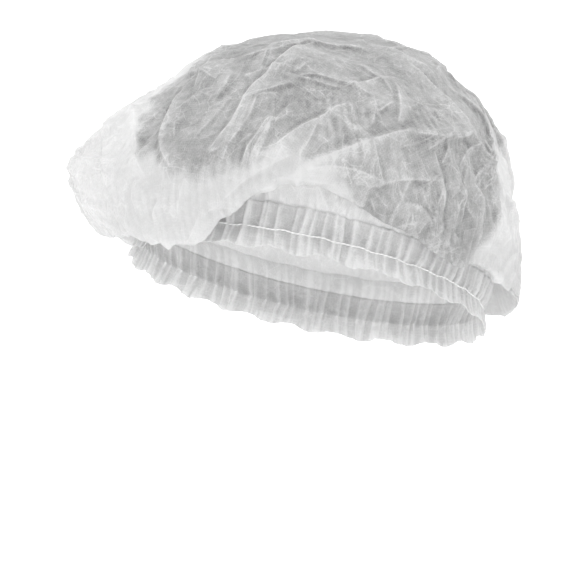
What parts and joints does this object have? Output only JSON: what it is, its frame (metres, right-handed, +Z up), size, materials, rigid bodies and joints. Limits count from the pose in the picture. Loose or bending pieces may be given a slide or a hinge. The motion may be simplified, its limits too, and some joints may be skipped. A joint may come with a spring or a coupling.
{
  "type": "disposable hair cover cap",
  "caption": "Slack bouffant crown of thin white nonwoven cloth, gathered on an elastic thread above a short frill, in its worn form, open underneath.",
  "frame": {"origin": "centre of the elastic's ring, in the middle of the head opening", "axes": "+Z up through the crown, -Y the way the wearer faces, +X to the wearer's left; the ring is tilted 19 degrees, high in front"},
  "size_m": [0.2077, 0.25, 0.1648],
  "materials": {
    "nonwoven_cloth": "matte, thin and translucent, crumpled",
    "gathered_cloth": "matte, pleated",
    "elastic_thread": "matte white thread"
  },
  "bodies": {
    "root": {"crown": "nonwoven_cloth", "gathered_band": "gathered_cloth", "elastic": "elastic_thread"}
  },
  "joints": []
}
